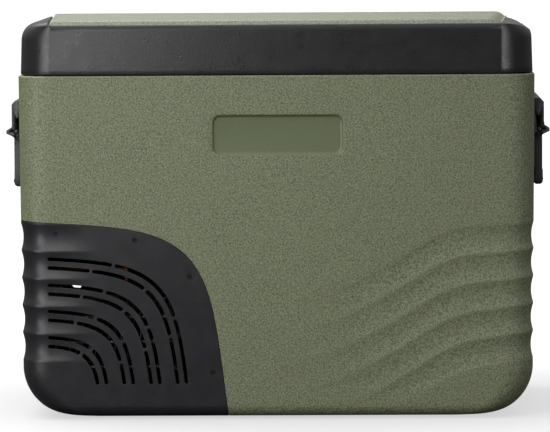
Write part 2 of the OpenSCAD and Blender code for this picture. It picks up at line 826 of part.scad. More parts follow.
// splayed outline of the top panel, grown at each end and carried past front and rear
module panel_plan(grow_left, grow_right, past) {
  y = lid_d / 2 - 0.2;
  splay = (panel_rear_x - panel_x) / (2 * y) * past;
  polygon([[-panel_x - grow_left + splay, -y - past], [panel_x + grow_right - splay, -y - past],
           [panel_rear_x + grow_right + splay, y + past],
           [-panel_rear_x - grow_left - splay, y + past]]);
}
module lid_frame() color(black) difference() {
  intersection() {
    upright(lid_bottom, 460) lid_plan(0);
    along_y(lid_d + 10) lid_profile();
  }
  upright(380, skirt_top) lid_plan(4);
  upright(380, crown_top) rounded(crown_w, lid_d - 7, 8);
  // seat of the top panel, with an open groove along its left end
  upright(panel_z, 460) panel_plan(2.4, 0.25, 20);
  at_shoulder() {
    upright(-2, 10) rounded(strip_w + 0.4, strip_l + 0.4, 5);
    upright(-9, 0) rounded(strip_w - 4, strip_l - 8, 3);
  }
  at_hinge_screws(lid_leaf_screw_zs, lid_d / 2) up(-6) cylinder(h = 12, r = 2.05);
}
module lid_panel() color(green_top) difference() {
  edge_r = 5;
  edge_y = lid_d / 2 - 0.2;
  arc_y = edge_y - edge_r;
  intersection() {
    upright(panel_z + 0.1, top_z) panel_plan(0, 0, 0);
    upright(panel_z, top_z + 1) lid_plan(0.2);
    // rounded top edges at front and rear
    along_x(2 * panel_rear_x + 10) union() {
      translate([-edge_y, 0]) square([2 * edge_y, top_z - edge_r]);
      translate([-arc_y, 0]) square([2 * arc_y, top_z]);
      for (s = [-1, 1]) translate([s * arc_y, top_z - edge_r]) circle(r = edge_r);
    }
  }
  box(-panel_x + 5, panel_x - 14, -lid_d / 2 + 6, lid_d / 2 - 6, 430, top_z - 2.6);
}
module lid_foam() color(foam_cream) union() {
  upright(388.1, skirt_top - 0.2) lid_plan(4.25);
  upright(skirt_top - 0.3, crown_top - 0.2) rounded(crown_w - 1, lid_d - 8, 7);
  upright(373.7, 388.2) rounded(plug_w - 6, plug_d - 6, 13);
}
module lid_liner() color(liner_grey) difference() {
  union() {
    upright(385, 388) lid_plan(4.15);
    upright(371, 386) rounded(plug_w, plug_d, 16);
  }
  upright(373.6, far) rounded(plug_w - 5.4, plug_d - 5.4, 13.2);
}
module lid_gasket() color("#111112") difference() {
  upright(380.1, 384.95) rounded(524, 290, 28);
  upright(370, 390) rounded(500, 266, 16);
}

// ---- control strip ----
module at_button(k) { translate([0, first_button_y + button_pitch * k, 0]) children(); }
module control_bezel() color("#0e0f11") at_shoulder() difference() {
  upright(-1.95, 0) rounded(strip_w, strip_l, 4.8);
  translate([0, display_y, 0]) {
    upright(-1.5, 5) rounded(13.2, 42.2, 2.1);
    upright(-5, 5) rounded(9, 38, 1);
  }
  for (k = [0 : 3]) at_button(k) up(-5) cylinder(h = 10, r = 4.4);
}
module display_lens() color("#1b2a33") at_shoulder()
  translate([0, display_y, 0]) upright(-1.45, -0.05) rounded(13, 42, 2);
module control_board() color("#1f5a3a") at_shoulder() upright(-8.9, -7.3) rounded(15.4, 110, 2);
module button(k) at_shoulder() at_button(k) union() {
  up(-3) cylinder(h = 3.8, r = 4.2);
  up(-4.6) cylinder(h = 2.3, r = 5.4);
}
module power_button() color("#8a2f28") button(0);
module settings_button() color(button_grey) button(1);
module up_button() color(button_grey) button(2);
module down_button() color(button_grey) button(3);

// ---- basket ----
module wire_basket() color("#d5d8da") translate([basket_x, 0, 0]) union() {
  x = basket_w / 2;
  y = basket_d / 2;
  low = basket_bottom;
  top = basket_top;
  for (k = [0 : 3])
    ring_wire(basket_w, basket_d, 20, k == 3 ? 2.4 : 1.8, low + (top - low) / 3 * k);
  for (k = [-3 : 3]) let (wire_x = k * 38) {
    for (s = [-1, 1]) rod([wire_x, s * y, low], [wire_x, s * y, top], 1.4);
    rod([wire_x, -y, low], [wire_x, y, low], 1.4);
  }
  for (k = [-2 : 2]) let (wire_y = k * 44) {
    for (s = [-1, 1]) rod([s * x, wire_y, low], [s * x, wire_y, top], 1.4);
    rod([-x, wire_y, low], [x, wire_y, low], 1.3);
  }
  for (s = [-1, 1])
    pipe([[s * x, -54, top], [s * x, -54, basket_grip_z], [s * x, 54, basket_grip_z],
          [s * x, 54, top]], 2.2);
}
module basket_grips() color("#2b2c2e") for (s = [-1, 1])
  translate([basket_x + s * basket_w / 2, 0, basket_grip_z]) difference() {
    rod_y(84, 5);
    rod_y(90, 2.25);
  }

place() outer_shell();
place() foam_core();
place() inner_liner();
place() rim_trim();
place() evaporator_coil();
place() bay_wall();
place() base_plate();
place() compressor_lower_shell();
place() compressor_upper_shell();
place() compressor_stator();
place() compressor_block();
place() compressor_feet();
place() compressor_grommets();
place() compressor_bolts();
place() terminal_cover();
place() suction_pipe();
place() discharge_pipe();
place() condenser_coil();
place() condenser_fins();
place() fan_frame();
place() filter_drier();
place() capillary_tube();
place() control_module();
place() dc_socket();
place() ac_socket();
place() bay_cover();
place() bay_cover_screws();
place() feet();
place() foot_screws();
place() handle_brackets();
place() handle_pins();
place() bracket_screws();
place() hinge_body_leaves();
place() hinge_pins();
place() hinge_body_screws();
place() interior_light();
place() wire_basket();
place() basket_grips();
place() compressor_rotor();
place() fan_impeller();
place() fan_shaft();
place() socket_flap();
place() handle_bail_left();
place() handle_grip_left();
place() handle_bail_right();
place() handle_grip_right();
place() lid_frame();
place() lid_panel();
place() lid_foam();
place() lid_liner();
place() lid_gasket();
place() hinge_lid_leaves();
place() hinge_lid_screws();
place() control_bezel();
place() display_lens();
place() control_board();
place() power_button();
place() settings_button();
place() up_button();
place() down_button();
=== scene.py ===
"""Portable compressor cool box: a ribbed body, a louvred cover over the bay at its lower left,
and a lid with a flush top panel.

Width lies along X, depth along Y with the front at -Y, height along Z. Shapes are worked out in
millimetres with y measured from the middle of the body, and become metres in mesh_object.
"""
import json
import math

import bpy
import bmesh
import numpy as np
from mathutils import Vector, Matrix

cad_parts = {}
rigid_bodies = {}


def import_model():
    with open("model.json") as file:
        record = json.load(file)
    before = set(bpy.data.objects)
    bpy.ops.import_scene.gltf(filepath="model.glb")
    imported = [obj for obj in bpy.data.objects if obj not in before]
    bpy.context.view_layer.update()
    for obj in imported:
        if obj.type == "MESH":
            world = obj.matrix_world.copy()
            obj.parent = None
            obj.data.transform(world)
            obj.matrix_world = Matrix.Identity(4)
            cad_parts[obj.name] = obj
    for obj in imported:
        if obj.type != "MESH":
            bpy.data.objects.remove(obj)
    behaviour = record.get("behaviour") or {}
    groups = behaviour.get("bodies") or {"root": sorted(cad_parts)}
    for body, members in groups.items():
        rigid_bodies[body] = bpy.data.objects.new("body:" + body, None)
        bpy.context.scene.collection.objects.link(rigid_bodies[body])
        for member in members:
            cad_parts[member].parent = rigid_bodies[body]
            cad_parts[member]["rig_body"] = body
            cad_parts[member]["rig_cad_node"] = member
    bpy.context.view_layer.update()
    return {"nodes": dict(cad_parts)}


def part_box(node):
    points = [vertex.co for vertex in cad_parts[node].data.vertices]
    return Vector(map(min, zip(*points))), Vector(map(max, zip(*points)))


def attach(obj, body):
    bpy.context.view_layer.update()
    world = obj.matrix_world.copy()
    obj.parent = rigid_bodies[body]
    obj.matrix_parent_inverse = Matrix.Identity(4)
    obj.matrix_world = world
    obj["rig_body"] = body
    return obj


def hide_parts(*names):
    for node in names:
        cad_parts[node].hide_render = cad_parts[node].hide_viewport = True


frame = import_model()
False  # the build is the same in either mode

# ---------------------------------------------------------------- sizes, mm
shell_lo, shell_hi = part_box("outer_shell")
CENTRE_Y = (shell_lo.y + shell_hi.y) / 2 * 1000
HALF_W = (shell_hi.x - shell_lo.x) * 500
HALF_D = (shell_hi.y - shell_lo.y) * 500
BASE_Z = shell_lo.z * 1000
RIM_Z = shell_hi.z * 1000
lid_lo, lid_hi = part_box("lid_frame")
LID_HALF_W = (lid_hi.x - lid_lo.x) * 500
LID_HALF_D = (lid_hi.y - lid_lo.y) * 500
LID_FOOT = lid_lo.z * 1000
LID_TOP = lid_hi.z * 1000
PANEL_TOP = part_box("lid_panel")[1].z * 1000
PANEL_SEAT = 438.0

CORNER_R = 34.0  # upright corners
END_R = 55.0     # lower edge at the left and right ends
SIDE_R = 12.0    # lower edge at the front and back
WALL = 5.0
DRAFT = 2.5      # each end leans in this much towards the foot
RIM_R = 1.5
RIDGE_Z, RIDGE_PITCH, RIDGE_DEPTH, HOLLOWS = 65.0, 30.6, 2.8, 5


# ---------------------------------------------------------------- mesh helpers
def link(ob):
    bpy.context.scene.collection.objects.link(ob)
    return ob


def smooth(t):
    t = np.clip(t, 0, 1)
    return t * t * (3 - 2 * t)


def mesh_object(name, points, faces):
    points = np.asarray(points, float).reshape(-1, 3) / 1000.0
    points[:, 1] += CENTRE_Y / 1000.0
    mesh = bpy.data.meshes.new(name)
    mesh.from_pydata([tuple(p) for p in points], [], faces)
    mesh.update()
    return link(bpy.data.objects.new(name, mesh))


def ring_solid(name, rings):
    """Closed solid from stacked rings, each counter-clockwise seen from the last one."""
    rings = np.asarray(rings, float)
    count, size, _ = rings.shape
    faces = []
    for r in range(count - 1):
        a = r * size
        for c in range(size):
            d = (c + 1) % size
            faces.append((a + c, a + d, a + size + d, a + size + c))
    faces.append(tuple(range(size - 1, -1, -1)))
    faces.append(tuple((count - 1) * size + i for i in range(size)))
    return mesh_object(name, rings, faces)


def counter_clockwise(outline):
    outline = np.asarray(outline, float)
    a, b = outline.T
    area = np.sum(a * np.roll(b, -1) - np.roll(a, -1) * b)
    return outline[::-1] if area < 0 else outline


def y_prism(outlines, y0, y1):
    """Cutter with one prism along Y for each outline in (x, z)."""
    points, faces = [], []
    for outline in outlines:
        outline = counter_clockwise(outline)
        n, first = len(outline), len(points)
        for y in (y0, y1):
            points += [(p[0], y, p[1]) for p in outline]
        faces.append(tuple(first + i for i in range(n)))
        faces.append(tuple(first + n + i for i in range(n - 1, -1, -1)))
        for i in range(n):
            j = (i + 1) % n
            faces.append((first + j, first + i, first + n + i, first + n + j))
    return mesh_object("cut", points, faces)


def through_prism(outline, reach=40):
    """Cutter along Y that runs past the front and the back by reach."""
    return y_prism([outline], -HALF_D - reach, HALF_D + reach)


def at_height(outline, z):
    return np.column_stack([outline, np.full(len(outline), z)])


def z_prism(outline, z0, z1):
    outline = counter_clockwise(outline)
    return ring_solid("cut", [at_height(outline, z) for z in (z0, z1)])


def rounded_rect(width, depth, radius, steps):
    points = []
    for k, (sx, sy) in enumerate(((1, -1), (1, 1), (-1, 1), (-1, -1))):
        for i in range(steps + 1):
            a = math.radians(-90 + 90 * k + 90 * i / steps)
            points.append((sx * (width / 2 - radius) + radius * math.cos(a),
                           sy * (depth / 2 - radius) + radius * math.sin(a)))
    return np.array(points)


def disc(x, z, radius, n=24):
    turns = [2 * math.pi * i / n for i in range(n)]
    return np.array([(x + radius * math.cos(a), z + radius * math.sin(a)) for a in turns])


def boolean(ob, cutter, operation="DIFFERENCE", drop=True, solver="MANIFOLD"):
    """Apply a boolean to ob at once, and remove the cutter unless drop is off."""
    modifier = ob.modifiers.new("b", "BOOLEAN")
    modifier.operation = operation
    modifier.object = cutter
    modifier.solver = solver
    depsgraph = bpy.context.evaluated_depsgraph_get()
    mesh = bpy.data.meshes.new_from_object(ob.evaluated_get(depsgraph))
    ob.modifiers.clear()
    old = ob.data
    ob.data = mesh
    mesh.name = ob.name
    bpy.data.meshes.remove(old)
    if len(mesh.polygons) == 0:
        raise RuntimeError("boolean left nothing of " + ob.name)
    if drop:
        bpy.data.objects.remove(cutter)


def shade(ob, angle):
    mesh = ob.data
    mesh.polygons.foreach_set("use_smooth", [True] * len(mesh.polygons))
    mesh.set_sharp_from_angle(angle=math.radians(angle))
    mesh.update()


def stand_in(ob, body, name):
    """Let ob take the place of the CAD piece called name."""
    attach(ob, body)
    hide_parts(name)


# ---------------------------------------------------------------- body surface
# x, and how far the ridges have dropped there on their way left across the front
RIDGE_DROP = np.array([
    (-40, 112), (0, 98), (42, 84), (79, 71.5), (87, 68), (107, 59), (120, 52.5), (134.5, 45.5),
    (148, 38), (162, 30), (173, 23), (190, 15.5), (201, 11.3), (218, 7.5), (245, 3.8),
    (262, 1.4), (275, 0.5), (287, 0)])
# x, and how much the ridges spread with height there
RIDGE_FAN = np.array([
    (-40, -0.092), (134, -0.092), (178, -0.077), (222, -0.035), (250, -0.01), (262, 0)])
FAN_Z = 108  # height at which the spread has no effect
FRONT_SPAN = 253  # half width over which the front columns are spaced
FRONT, FRONT_RIGHT, RIGHT, BACK_RIGHT, BACK, BACK_LEFT, LEFT, FRONT_LEFT = range(8)


def smoothed_drop():
    """RIDGE_DROP sampled finely and blurred: x values and drops."""
    x = np.linspace(-40, 287, 655)
    drop = np.interp(x, RIDGE_DROP[:, 0], RIDGE_DROP[:, 1])
    kernel = np.exp(-0.5 * (np.arange(-30, 31) / 11.0) ** 2)
    kernel /= kernel.sum()
    padded = np.pad(drop, 30, mode="reflect", reflect_type="odd")
    return x, np.convolve(padded, kernel, mode="valid")


def body_columns():
    """Columns counter-clockwise from above, starting at the left of the front.

    Each is the corner-centre position as a fraction in x and y, the outward normal, the zone.
    """
    def corner(x, y, start, count, zone):
        angles = [math.radians(a) for a in np.linspace(start, start + 90, count)[1:]]
        return [(x, y, math.cos(a), math.sin(a), zone) for a in angles]

    front = np.concatenate([np.arange(-253, -186, 3.2), np.arange(-184, 6, 9.5),
                            np.arange(8, 253.1, 2.45)])
    cols = [(x / FRONT_SPAN, -1, 0, -1, FRONT) for x in front]
    cols += corner(1, -1, -90, 17, FRONT_RIGHT)
    cols += [(1, t, 1, 0, RIGHT) for t in np.linspace(-1, 1, 13)[1:]]
    cols += corner(1, 1, 0, 15, BACK_RIGHT)
    cols += [(t, 1, 0, 1, BACK) for t in np.linspace(1, -1, 34)[1:]]
    cols += corner(-1, 1, 90, 15, BACK_LEFT)
    cols += [(-1, t, -1, 0, LEFT) for t in np.linspace(1, -1, 13)[1:]]
    cols += corner(-1, -1, 180, 17, FRONT_LEFT)[:-1]
    return np.array(cols, float)


def half_x(z):
    """Half width of the body: drafted ends above the rounded lower edge."""
    z = np.asarray(z, float)
    drafted = HALF_W - DRAFT * np.clip((RIM_Z - z) / (RIM_Z - BASE_Z - END_R), 0, 1)
    q = np.clip(BASE_Z + END_R - z, 0, END_R)
    rounded = HALF_W - DRAFT - END_R + np.sqrt(END_R * END_R - q * q)
    return np.where(z < BASE_Z + END_R, rounded, drafted)


def half_y(z):
    q = np.clip(BASE_Z + SIDE_R - np.asarray(z, float), 0, SIDE_R)
    return HALF_D - SIDE_R + np.sqrt(SIDE_R * SIDE_R - q * q)


def body_rows():
    """Heights of the body rings, close together over the ridges and the rounded edges."""
    step = RIDGE_PITCH / 20
    ridge_top = RIDGE_Z + HOLLOWS * RIDGE_PITCH
    zs = list(BASE_Z + END_R - END_R * np.sin(np.radians(np.arange(0, 90.1, 5.0))))
    zs += list(BASE_Z + SIDE_R - SIDE_R * np.sin(np.radians(np.arange(0, 90.1, 11.25))))
    zs += list(np.arange(RIDGE_Z - 28 * step, ridge_top + 6 * step, step))
    zs += list(np.linspace(ridge_top + 8 * step, RIM_Z - 2, 20))
    zs += [RIM_Z - RIM_R + RIM_R * math.sin(math.radians(a)) for a in (0, 22, 45, 67, 90)]
    zs = np.unique(np.round(np.clip(zs, BASE_Z, RIM_Z), 4))
    kept = [zs[0]]
    for z in zs[1:]:
        if z - kept[-1] > 0.3 or z == zs[-1]:
            kept.append(z)
    return np.array(kept)


def hollow(phase):
    """Depth of the parabolic hollows between ridges; blunt softens the ridge lines."""
    f = phase - np.floor(phase)
    depth = RIDGE_DEPTH * 4 * f * (1 - f)
    depth = np.where((phase < 0) | (phase > HOLLOWS), 0, depth)
    blunt = 0.32
    return np.sqrt(depth * depth + blunt * blunt) - blunt


def body_surface():
    """Rings of the outer surface, with the hollows sunk in and the rim rounded."""
    zs = body_rows()
    z = zs[:, None]
    part_x, part_y, nx, ny, zone = [c[None, :] for c in body_columns().T]
    x = part_x * (half_x(zs)[:, None] - CORNER_R) + CORNER_R * nx
    y = part_y * (half_y(zs)[:, None] - CORNER_R) + CORNER_R * ny

    front_left = (zone == FRONT) & (x <= -60)
    front_main = (zone == FRONT) & (x > -60)
    swept = (zone <= FRONT_RIGHT) & (x > 0)
    drop = np.where(swept, np.interp(x, *smoothed_drop()), 0.0)
    fan = np.where(swept, np.interp(x, RIDGE_FAN[:, 0], RIDGE_FAN[:, 1]), 0.0)
    # the hollows fade out over the middle of the front and are absent at the back
    strength = np.select(
        [front_main, front_left, zone == FRONT_RIGHT, zone == FRONT_LEFT, zone == BACK,
         (zone == BACK_RIGHT) | (zone == BACK_LEFT)],
        [smooth((x + 14) / 185) * (0.46 + 0.24 * smooth((x - 175) / 75)),
         smooth((-x - 192) / 66) * 0.6,
         0.7 + 0.3 * smooth(nx / 0.8),
         0.6 + 0.4 * smooth(-nx / 0.8),
         0.0,
         smooth(np.abs(nx) / 0.9)],
        default=1.0)
    foot_fade = np.where(front_main, smooth((z - 12) / 32), 1.0)
    t = np.clip((z - (RIM_Z - RIM_R)) / RIM_R, 0, 1)
    rim_inset = RIM_R * (1 - np.sqrt(1 - t * t))
    phase = (z + drop - RIDGE_Z + (z - FAN_Z) * fan) / RIDGE_PITCH
    depth = hollow(phase) * strength * foot_fade + rim_inset
    return np.stack([x - nx * depth, y - ny * depth, np.broadcast_to(z, x.shape)], axis=-1)


def inner_body(inset, top=RIM_Z + 12):
    """Smooth solid that lies inset inside the body, up to the height top."""
    z0 = BASE_Z + inset
    rings = []
    for z in sorted({z0, z0 + 2, z0 + 6, z0 + 14, z0 + 26, z0 + 40, BASE_Z + END_R, 200, top}):
        level = max(z - inset * 0.4, BASE_Z)
        x = (float(half_x(level)) if z < RIM_Z else HALF_W) - inset
        y = float(half_y(level)) - inset
        rings.append(at_height(rounded_rect(2 * x, 2 * y, CORNER_R - inset, 8), z))
    return ring_solid("inner", rings)


# ---------------------------------------------------------------- bay cover outline and louvres
# leaning superellipses about a point near the lower left corner
COVER_X, COVER_Z = -HALF_W + 3.2, BASE_Z + 4.5
LEAN_X, LEAN_Z = 0.1257, 0.0519
COVER_A, COVER_B, COVER_POWER = 230.6, 215.0, 5.5
LOUVRE_A, LOUVRE_B, LOUVRE_POWER = 188.5, 174.6, 5.3  # outermost louvre
SLOT_HALF = 2.1
BRIDGE_HALF = 3.5
# for each louvre from the outermost, the angles of the bridges that interrupt it, degrees
BRIDGES = [[54, 32], [59, 43, 28], [52, 34], [58, 43, 28], [49, 35], [55, 28], [41], [43]]


def curve_points(a, b, power, degrees):
    f = np.radians(np.asarray(degrees, float))
    t = np.arctan((a / b * np.tan(f)) ** (power / 2))
    u = a * np.cos(t) ** (2 / power)
    w = b * np.sin(t) ** (2 / power)
    return np.stack([COVER_X + u - LEAN_X * w, COVER_Z + w - LEAN_Z * u], axis=-1)


def cover_outline(grow):
    a, b = COVER_A + grow, COVER_B + grow
    degrees = np.concatenate([np.linspace(0.05, 40, 50), np.linspace(40, 50, 50)[1:],
                              np.linspace(50, 89.95, 50)[1:]])
    beyond = [[-HALF_W - 40, COVER_Z + b], [-HALF_W - 40, -30], [COVER_X + a, -30]]
    return np.vstack([curve_points(a, b, COVER_POWER, degrees), beyond])


def slot_end(p, q):
    """Points of the half circle that rounds a slot from p to q."""
    middle, radius = (p + q) / 2, np.linalg.norm(p - q) / 2
    start = math.atan2(p[1] - middle[1], p[0] - middle[0])
    return [middle + radius * np.array([math.cos(start + t), math.sin(start + t)])
            for t in np.linspace(0.5, math.pi - 0.5, 4)]


def louvre_outlines(first):
    """Slots of the louvres from number first inwards; louvres come in close pairs."""
    outlines = []
    for k in range(first, len(BRIDGES)):
        a = LOUVRE_A - 29.8 * (k // 2) - 9.9 * (k % 2)
        b = LOUVRE_B - 29.3 * (k // 2) - 9.9 * (k % 2)
        top = math.degrees(math.atan2(b, 31.6 + LEAN_X * b))
        bottom = math.degrees(math.atan2(34.0 + LEAN_Z * a, a))
        gap = BRIDGE_HALF / (1.25 * (a + b) / 2) * 57.3
        stops = [top] + [c + side * gap for c in BRIDGES[k] for side in (1, -1)] + [bottom]
        for high, low in zip(stops[::2], stops[1::2]):
            f = np.linspace(low, high, 22)
            outer = curve_points(a + SLOT_HALF, b + SLOT_HALF, LOUVRE_POWER, f)
            inner = curve_points(a - SLOT_HALF, b - SLOT_HALF, LOUVRE_POWER, f[::-1])
            outlines.append(np.array(
                list(outer) + slot_end(outer[-1], inner[0])
                + list(inner) + slot_end(inner[-1], outer[0])))
    return outlines


# ---------------------------------------------------------------- shell, cover and landing
RECESS_X, RECESS_Z = 2.0, 316.3
RECESS_W, RECESS_H, RECESS_R = 143, 42.5, 8
# growth of the recess outline, and height above the front face: rolled lip, filleted floor
RECESS_PROFILE = [(1.5, 3.0), (1.5, 0.15), (0.9, -0.12), (0.35, -0.5), (0.0, -1.1),
                  (-0.25, -1.9), (-0.8, -2.55), (-1.7, -2.9), (-2.8, -3.0)]
SCREWS = [(-245.8, 208.2), (-157.6, 200.1), (-96.6, 159.1), (-71.8, 52.5)]  # x, z
SCREW_SEAT_R, SCREW_SEAT_DEPTH = 2.9, 1.6
FOOT_HOLE_X, FOOT_HOLE_Y, FOOT_HOLE_R = -205, 112, 2.3
SOCKET_X, SOCKET_Z = -200.0, 151.0
TRUNNION_R, TRUNNION_REACH = 1.25, 43


def recess_cutter():
    """Cutter of the shallow badge recess high on the front."""
    rings = []
    for grow, height in RECESS_PROFILE:
        outline = rounded_rect(RECESS_W + 2 * grow, RECESS_H + 2 * grow, RECESS_R + grow, 10)
        # the right end leans left where the cutter stands clear of the face
        lean = 2.8 * max(height, 0) / 3
        rings.append([(RECESS_X + x - (lean if x > 40 else 0), -HALF_D - height, RECESS_Z + z)
                      for x, z in outline])
    cutter = ring_solid("cut", rings)
    bm = bmesh.new()
    bm.from_mesh(cutter.data)
    bmesh.ops.recalc_face_normals(bm, faces=bm.faces)
    bm.to_mesh(cutter.data)
    bm.free()
    return cutter


def build_shell_and_cover(surface):
    """Hollow body split along the cover outline, with a narrow gap between the parts."""
    shell = ring_solid("outer_shell_visual", surface)
    cover = shell.copy()
    cover.data = shell.data.copy()
    cover.name = "bay_cover_visual"
    link(cover)
    inner = inner_body(WALL)
    boolean(shell, inner, drop=False)
    boolean(cover, inner)
    boolean(shell, through_prism(cover_outline(0.15)))
    boolean(cover, through_prism(cover_outline(-0.55)), "INTERSECT")
    boolean(shell, recess_cutter())
    return shell, cover


def build_landing(surface):
    """Thin strip behind the seam, black as painted shade, so that the gap reads dark and
    closed.
    """
    landing = ring_solid("seam_shade_landing_visual", surface)
    boolean(landing, through_prism(cover_outline(5)), "INTERSECT")
    boolean(landing, through_prism(cover_outline(-7), reach=60))
    boolean(landing, inner_body(WALL + 2.6))
    boolean(landing, inner_body(WALL + 0.2), "INTERSECT")
    return landing


def pierce_cover(cover):
    """Louvres, screw seats, foot screw holes and the socket pocket on the back."""
    boolean(cover, y_prism(louvre_outlines(0), -HALF_D - 20, -HALF_D + 20))
    boolean(cover, y_prism(louvre_outlines(4), HALF_D - 20, HALF_D + 20))
    for y0, y1 in ((-HALF_D - 5, -HALF_D + SCREW_SEAT_DEPTH),
                   (HALF_D - SCREW_SEAT_DEPTH, HALF_D + 5)):
        boolean(cover, y_prism([disc(x, z, SCREW_SEAT_R) for x, z in SCREWS], y0, y1))
    for y in (-FOOT_HOLE_Y, FOOT_HOLE_Y):
        boolean(cover, z_prism(disc(FOOT_HOLE_X, y, FOOT_HOLE_R), -2, 20))
    pocket = rounded_rect(80, 42, 0.5, 4) + np.array([SOCKET_X, SOCKET_Z])
    boolean(cover, y_prism([pocket], HALF_D - 3.6, HALF_D + 5))
    round_hole = disc(SOCKET_X + 18, SOCKET_Z, 10.1, 40)
    oblong_hole = rounded_rect(24.4, 18.4, 1.5, 3) + np.array([SOCKET_X - 19, SOCKET_Z])
    boolean(cover, y_prism([round_hole, oblong_hole], HALF_D - 20, HALF_D))
    # bore along X for the flap's trunnions, drawn in (y, z)
    bore = disc(HALF_D - 2.1, SOCKET_Z + 19, TRUNNION_R, 48)
    ends = (SOCKET_X - TRUNNION_REACH, SOCKET_X + TRUNNION_REACH)
    boolean(cover, ring_solid("cut", [[(x, y, z) for y, z in bore] for x in ends]))


def build_foam():
    """The foam filling, trimmed to the inside of the moulded shell."""
    foam = frame["nodes"]["foam_core"].copy()
    foam.data = foam.data.copy()
    foam.name = "foam_core_visual"
    foam.parent = None
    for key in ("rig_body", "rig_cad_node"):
        if key in foam:
            del foam[key]
    link(foam)
    bm = bmesh.new()
    bm.from_mesh(foam.data)
    bmesh.ops.remove_doubles(bm, verts=bm.verts, dist=0.000004)
    bm.to_mesh(foam.data)
    bm.free()
    boolean(foam, inner_body(WALL + 0.3, 374.9), "INTERSECT", solver="EXACT")
    shade(foam, 32)
    return foam


surface = body_surface()
shell, cover = build_shell_and_cover(surface)
landing = build_landing(surface)
pierce_cover(cover)
for ob in (shell, cover, landing):
    shade(ob, 38)
stand_in(shell, "cabinet", "outer_shell")
stand_in(cover, "cabinet", "bay_cover")
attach(landing, "cabinet")
foam = build_foam()
stand_in(foam, "cabinet", "foam_core")

# ---------------------------------------------------------------- lid frame
CREASE = 248.8      # x where the flat front and back meet the corner curve
CREASE_STEP = 0.15  # start of the corner beyond the crease
CURVE_R, CURVE_START = 49.5, 15  # corner curve, and the angle in degrees it starts from
LID_DRAFT = 1.2
LID_EDGE_R = 5.0
SHOULDER_R = 20.0   # rolled left and right ends of the lid
ARC_Z = LID_TOP - SHOULDER_R
ARC_X = LID_HALF_W - LID_DRAFT - SHOULDER_R
SEAT_CHORD = 20.0   # width of the flat cut across the left shoulder
PANEL_FRONT_X, PANEL_BACK_X = 249.4, 267.0  # half widths of the panel at front and back
PANEL_Y = LID_HALF_D - 0.2
# x, z: the right shoulder is planed down to the rolled end of the panel
PLANED = [(246, 437.8), (257, 437.7), (264, 436.9), (271, 435.3), (277, 433.0), (281.5, 430.2),
          (300, 430.2), (300, 460), (246, 460)]


def lid_columns():
    """(x, y, whether on a corner or end) at full width, counter-clockwise from above."""
    start = math.radians(CURVE_START)
    corner = []
    for angle in np.linspace(CURVE_START, 90, 19):
        b = math.radians(angle)
        corner.append((CREASE + CURVE_R * (math.sin(b) - math.sin(start)),
                       LID_HALF_D - CURVE_R * (math.cos(start) - math.cos(b))))
    corner[0] = (corner[0][0] + CREASE_STEP, corner[0][1])
    end = corner[-1][1]
    half = [(x, -LID_HALF_D, 0) for x in np.linspace(-CREASE, CREASE, 25)]
    half += [(x, -y, 1) for x, y in corner]
    half += [(LID_HALF_W, y, 1) for y in np.linspace(-end, end, 11)[1:-1]]
    half += [(x, y, 1) for x, y in corner[::-1]]
    half = np.array(half, float)
    return np.vstack([half, half * (-1, -1, 1)])


def lid_ring(z, inset=0.0):
    """Ring of the lid at height z; an inset ring keeps its sides upright at the top edge."""
    half_w = LID_HALF_W - LID_DRAFT * min((z - LID_FOOT) / (ARC_Z - LID_FOOT), 1)
    if z > ARC_Z:
        half_w = ARC_X + math.sqrt(max(SHOULDER_R * SHOULDER_R - (z - ARC_Z) ** 2, 0))
    half_w -= inset
    flat_in = corner_in = 0
    if not inset:
        q = max(z - (PANEL_SEAT - 6), 0)
        flat_in = LID_EDGE_R * (1 - math.sqrt(1 - min(q / 7.2, 0.8334) ** 2))
        q = max(z - (LID_TOP - LID_EDGE_R), 0)
        corner_in = LID_EDGE_R - math.sqrt(max(LID_EDGE_R ** 2 - q * q, 0))
    x, y, curved = lid_columns().T
    ax = np.abs(x)
    crease = CREASE - inset * 0.4
    beyond = crease + (ax - CREASE) * (half_w - crease) / (LID_HALF_W - CREASE)
    new_x = np.where(ax > CREASE, beyond, ax * crease / CREASE) * np.sign(x)
    new_y = y * (LID_HALF_D - (np.where(curved == 0, flat_in, corner_in) + inset)) / LID_HALF_D
    return np.column_stack([new_x, new_y, np.full(len(x), z)])


def lid_rows():
    zs = [LID_FOOT + rise for rise in (0, 0.25, 0.8, 6, 16, 26)] + [ARC_Z - 2]
    zs += [ARC_Z + SHOULDER_R * math.sin(math.radians(a)) for a in np.arange(0, 89, 4.5)]
    zs += [LID_TOP] + [PANEL_SEAT - drop for drop in (6, 5, 4, 3, 2, 1, 0.3, 0)]
    zs = sorted(set(np.round(zs, 3)))
    return [z for k, z in enumerate(zs) if k == 0 or z - zs[k - 1] > 0.12]


def panel_seat_outline(left_gap=2.4, right_gap=0.25, past=20):
    """Plan of the panel's seat, carried past the front and back along its slanting ends."""
    k = (PANEL_BACK_X - PANEL_FRONT_X) / (2 * PANEL_Y) * past
    return [(-PANEL_FRONT_X - left_gap + k, -PANEL_Y - past),
            (PANEL_FRONT_X + right_gap - k, -PANEL_Y - past),
            (PANEL_BACK_X + right_gap + k, PANEL_Y + past),
            (-PANEL_BACK_X - left_gap - k, PANEL_Y + past)]


def on_shoulder(cutter):
    """Move a cutter from the origin to the flat across the left shoulder, tilted with it."""
    reach = math.sqrt(SHOULDER_R ** 2 - (SEAT_CHORD / 2) ** 2) * math.sin(math.pi / 4)
    place = Matrix.Translation(Vector(((-ARC_X - reach) / 1000, 0, (ARC_Z + reach) / 1000)))
    cutter.data.transform(place @ Matrix.Rotation(math.radians(-45), 4, "Y"))
    return cutter


